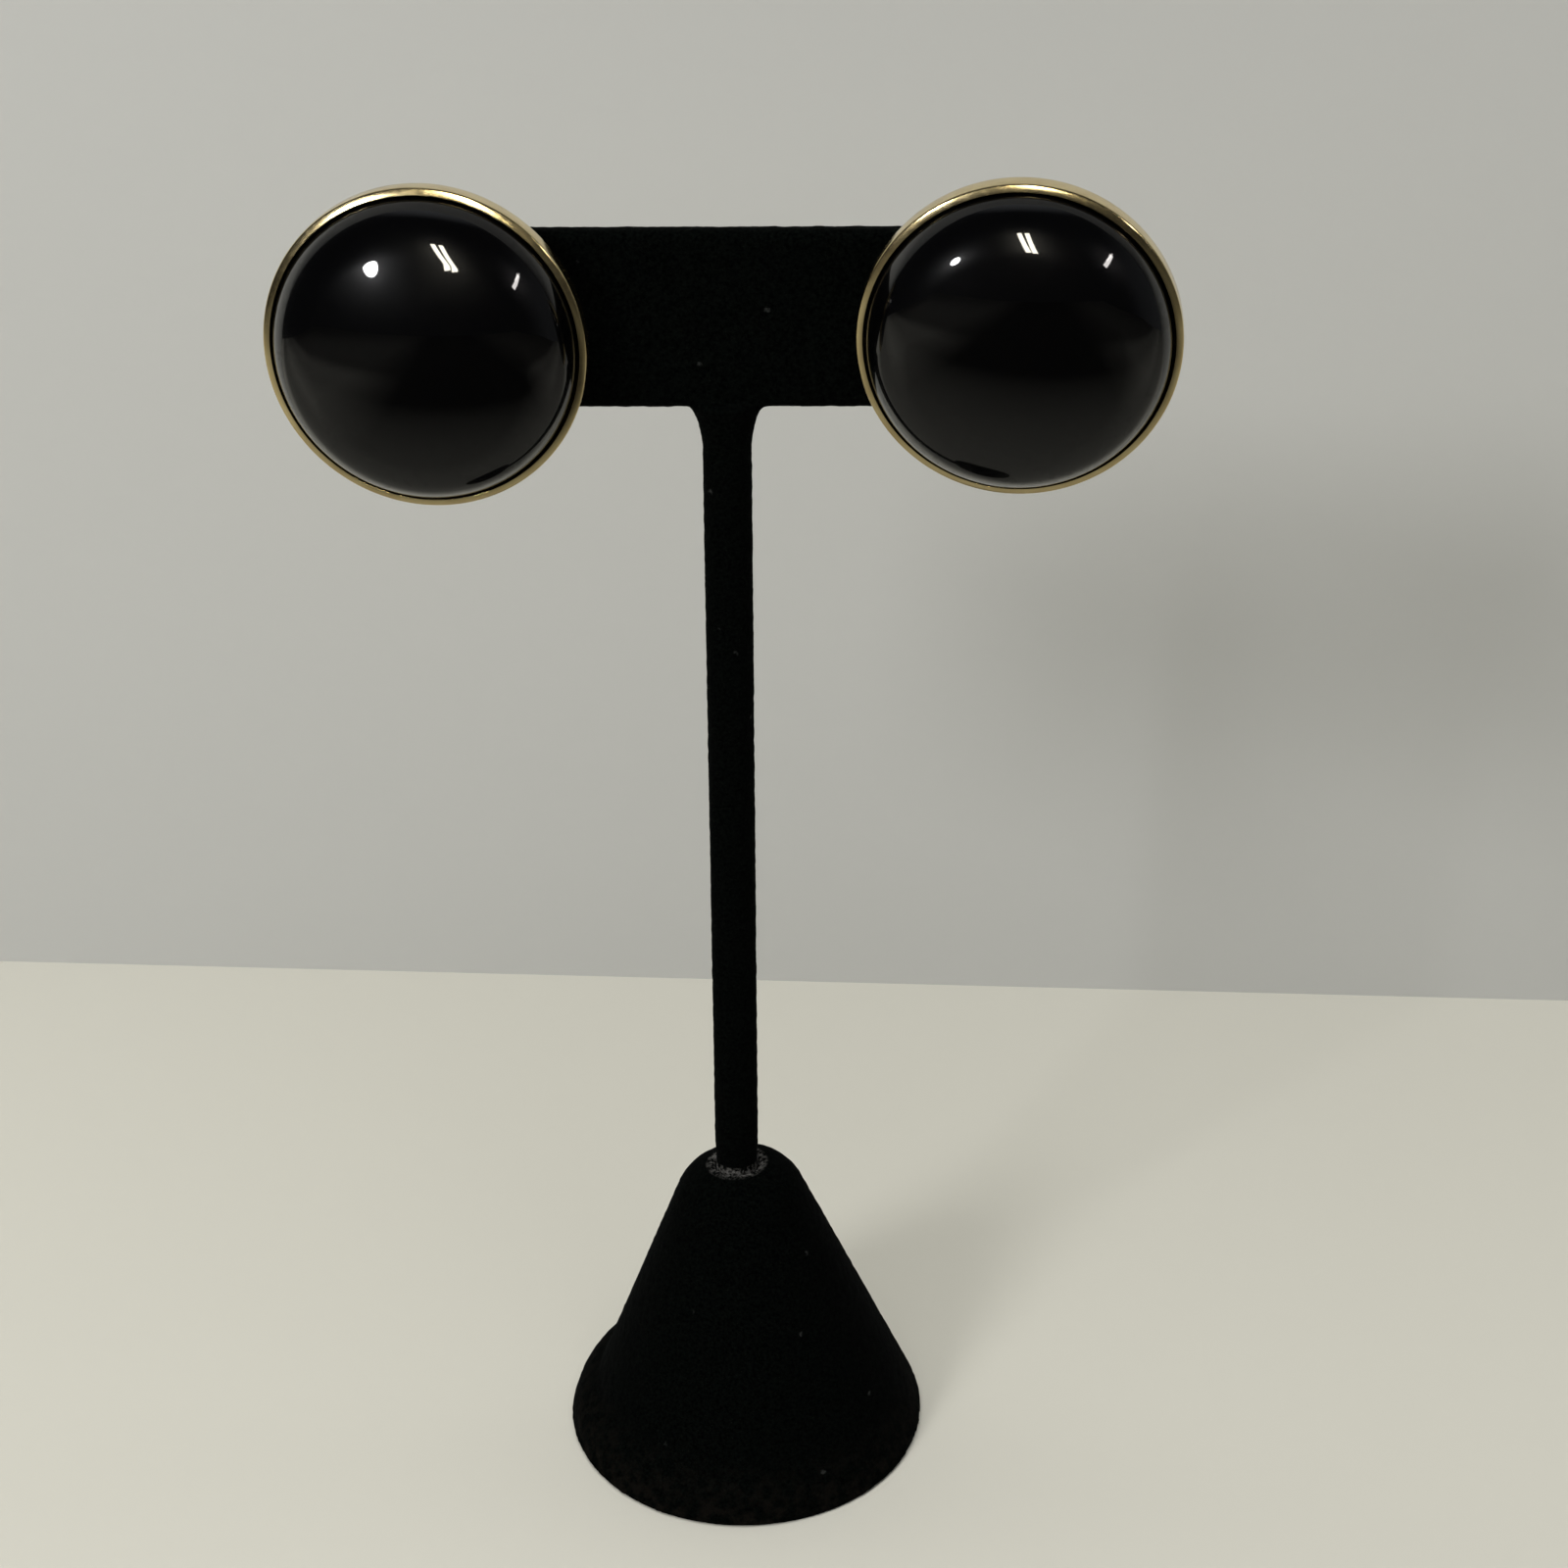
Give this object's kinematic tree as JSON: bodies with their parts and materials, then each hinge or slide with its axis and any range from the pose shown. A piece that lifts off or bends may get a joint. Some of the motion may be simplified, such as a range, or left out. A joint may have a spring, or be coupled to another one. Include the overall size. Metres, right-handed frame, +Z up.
{
  "type": "pair of button earrings on a t-bar earring stand",
  "caption": "Pair of domed black button earrings in plain gold-tone settings, hung on a small black flocked T-bar stand with a cone foot.",
  "frame": {"origin": "centre of the foot's flat underside, on the table", "axes": "+Z up the post, -Y the way the earrings face, +X to the right as seen from the front, along the bar"},
  "size_m": [0.0744, 0.0356, 0.1255],
  "materials": {
    "flock": "matt black flock, like short velvet",
    "gold_tone": "polished pale gold-tone plating",
    "black_dome": "high gloss black"
  },
  "bodies": {
    "root": {"stand_foot": "flock", "stand_tee": "flock", "left_setting": "gold_tone", "left_cabochon": "black_dome", "left_ear_nut": "gold_tone", "right_setting": "gold_tone", "right_cabochon": "black_dome", "right_ear_nut": "gold_tone"}
  },
  "joints": []
}
